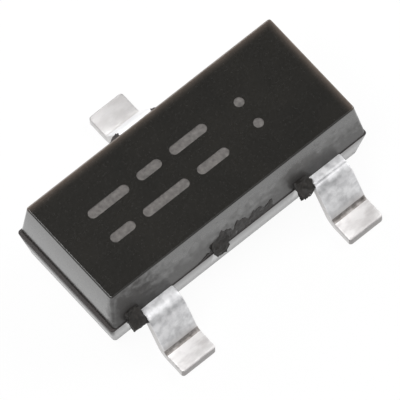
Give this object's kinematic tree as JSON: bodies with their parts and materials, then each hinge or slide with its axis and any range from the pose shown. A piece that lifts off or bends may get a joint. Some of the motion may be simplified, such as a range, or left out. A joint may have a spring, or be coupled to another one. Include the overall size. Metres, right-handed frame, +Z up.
{
  "type": "sot-23 transistor",
  "caption": "Small black moulded surface-mount transistor body with formed tin-plated gull-wing leads, two on one long side and one on the other, and a wired chip inside.",
  "frame": {"origin": "on the board plane, under the middle of the part", "axes": "+X along the body towards the emitter lead, +Y towards the collector lead, +Z up from the board"},
  "size_m": [0.0028, 0.0024, 0.001],
  "materials": {
    "mould_epoxy": "semi-gloss moulding compound",
    "tin_plate": "matte tin plating on copper alloy strip",
    "silicon": "polished silicon with metal pads",
    "die_adhesive": "silver-filled adhesive",
    "bond_wire": "drawn gold wire"
  },
  "bodies": {
    "root": {"mould_body": "mould_epoxy", "base_lead": "tin_plate", "emitter_lead": "tin_plate", "collector_lead": "tin_plate", "die_attach": "die_adhesive", "die": "silicon", "base_bond_wire": "bond_wire", "emitter_bond_wire": "bond_wire"}
  },
  "joints": []
}
